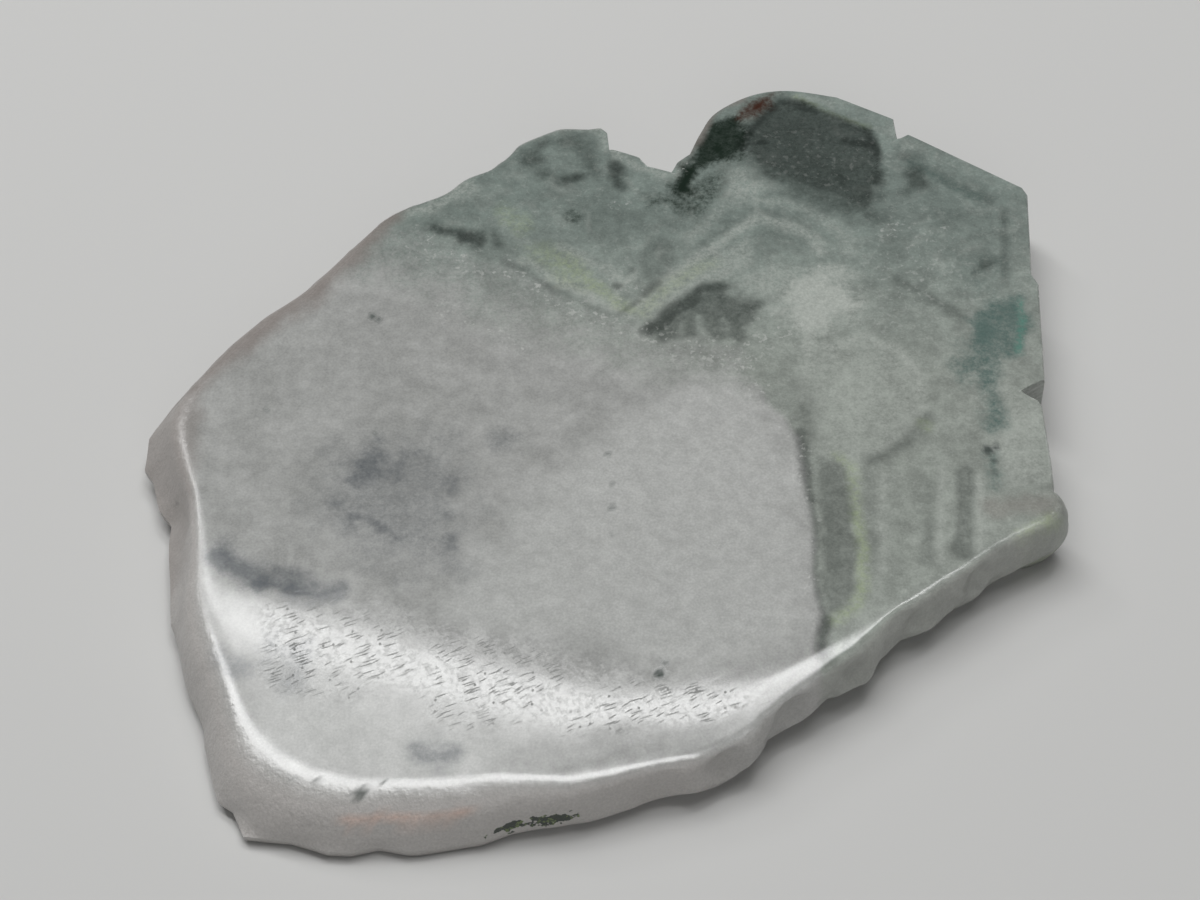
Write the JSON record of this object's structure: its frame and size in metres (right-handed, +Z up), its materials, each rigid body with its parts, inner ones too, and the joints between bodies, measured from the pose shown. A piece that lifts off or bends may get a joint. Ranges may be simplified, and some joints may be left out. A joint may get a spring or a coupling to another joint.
{
  "type": "ajoite quartz slice",
  "caption": "Flat polished slice of milky quartz with grown-together crystal faces on one side, clear green-tinged windows and a broken, bevelled edge, lying on its sawn underside.",
  "frame": {"origin": "middle of the bounding box's footprint, on the sawn underside that it lies on", "axes": "+Z up through the slice's thickness to the polished top, +Y away from the viewer towards the crystal faces at the back, +X right towards the straight crystal faces"},
  "size_m": [0.079, 0.0816, 0.0065],
  "materials": {
    "quartz": "polished, milky, with clear green-grey windows"
  },
  "bodies": {
    "root": {"quartz_slice": "quartz"}
  },
  "joints": []
}
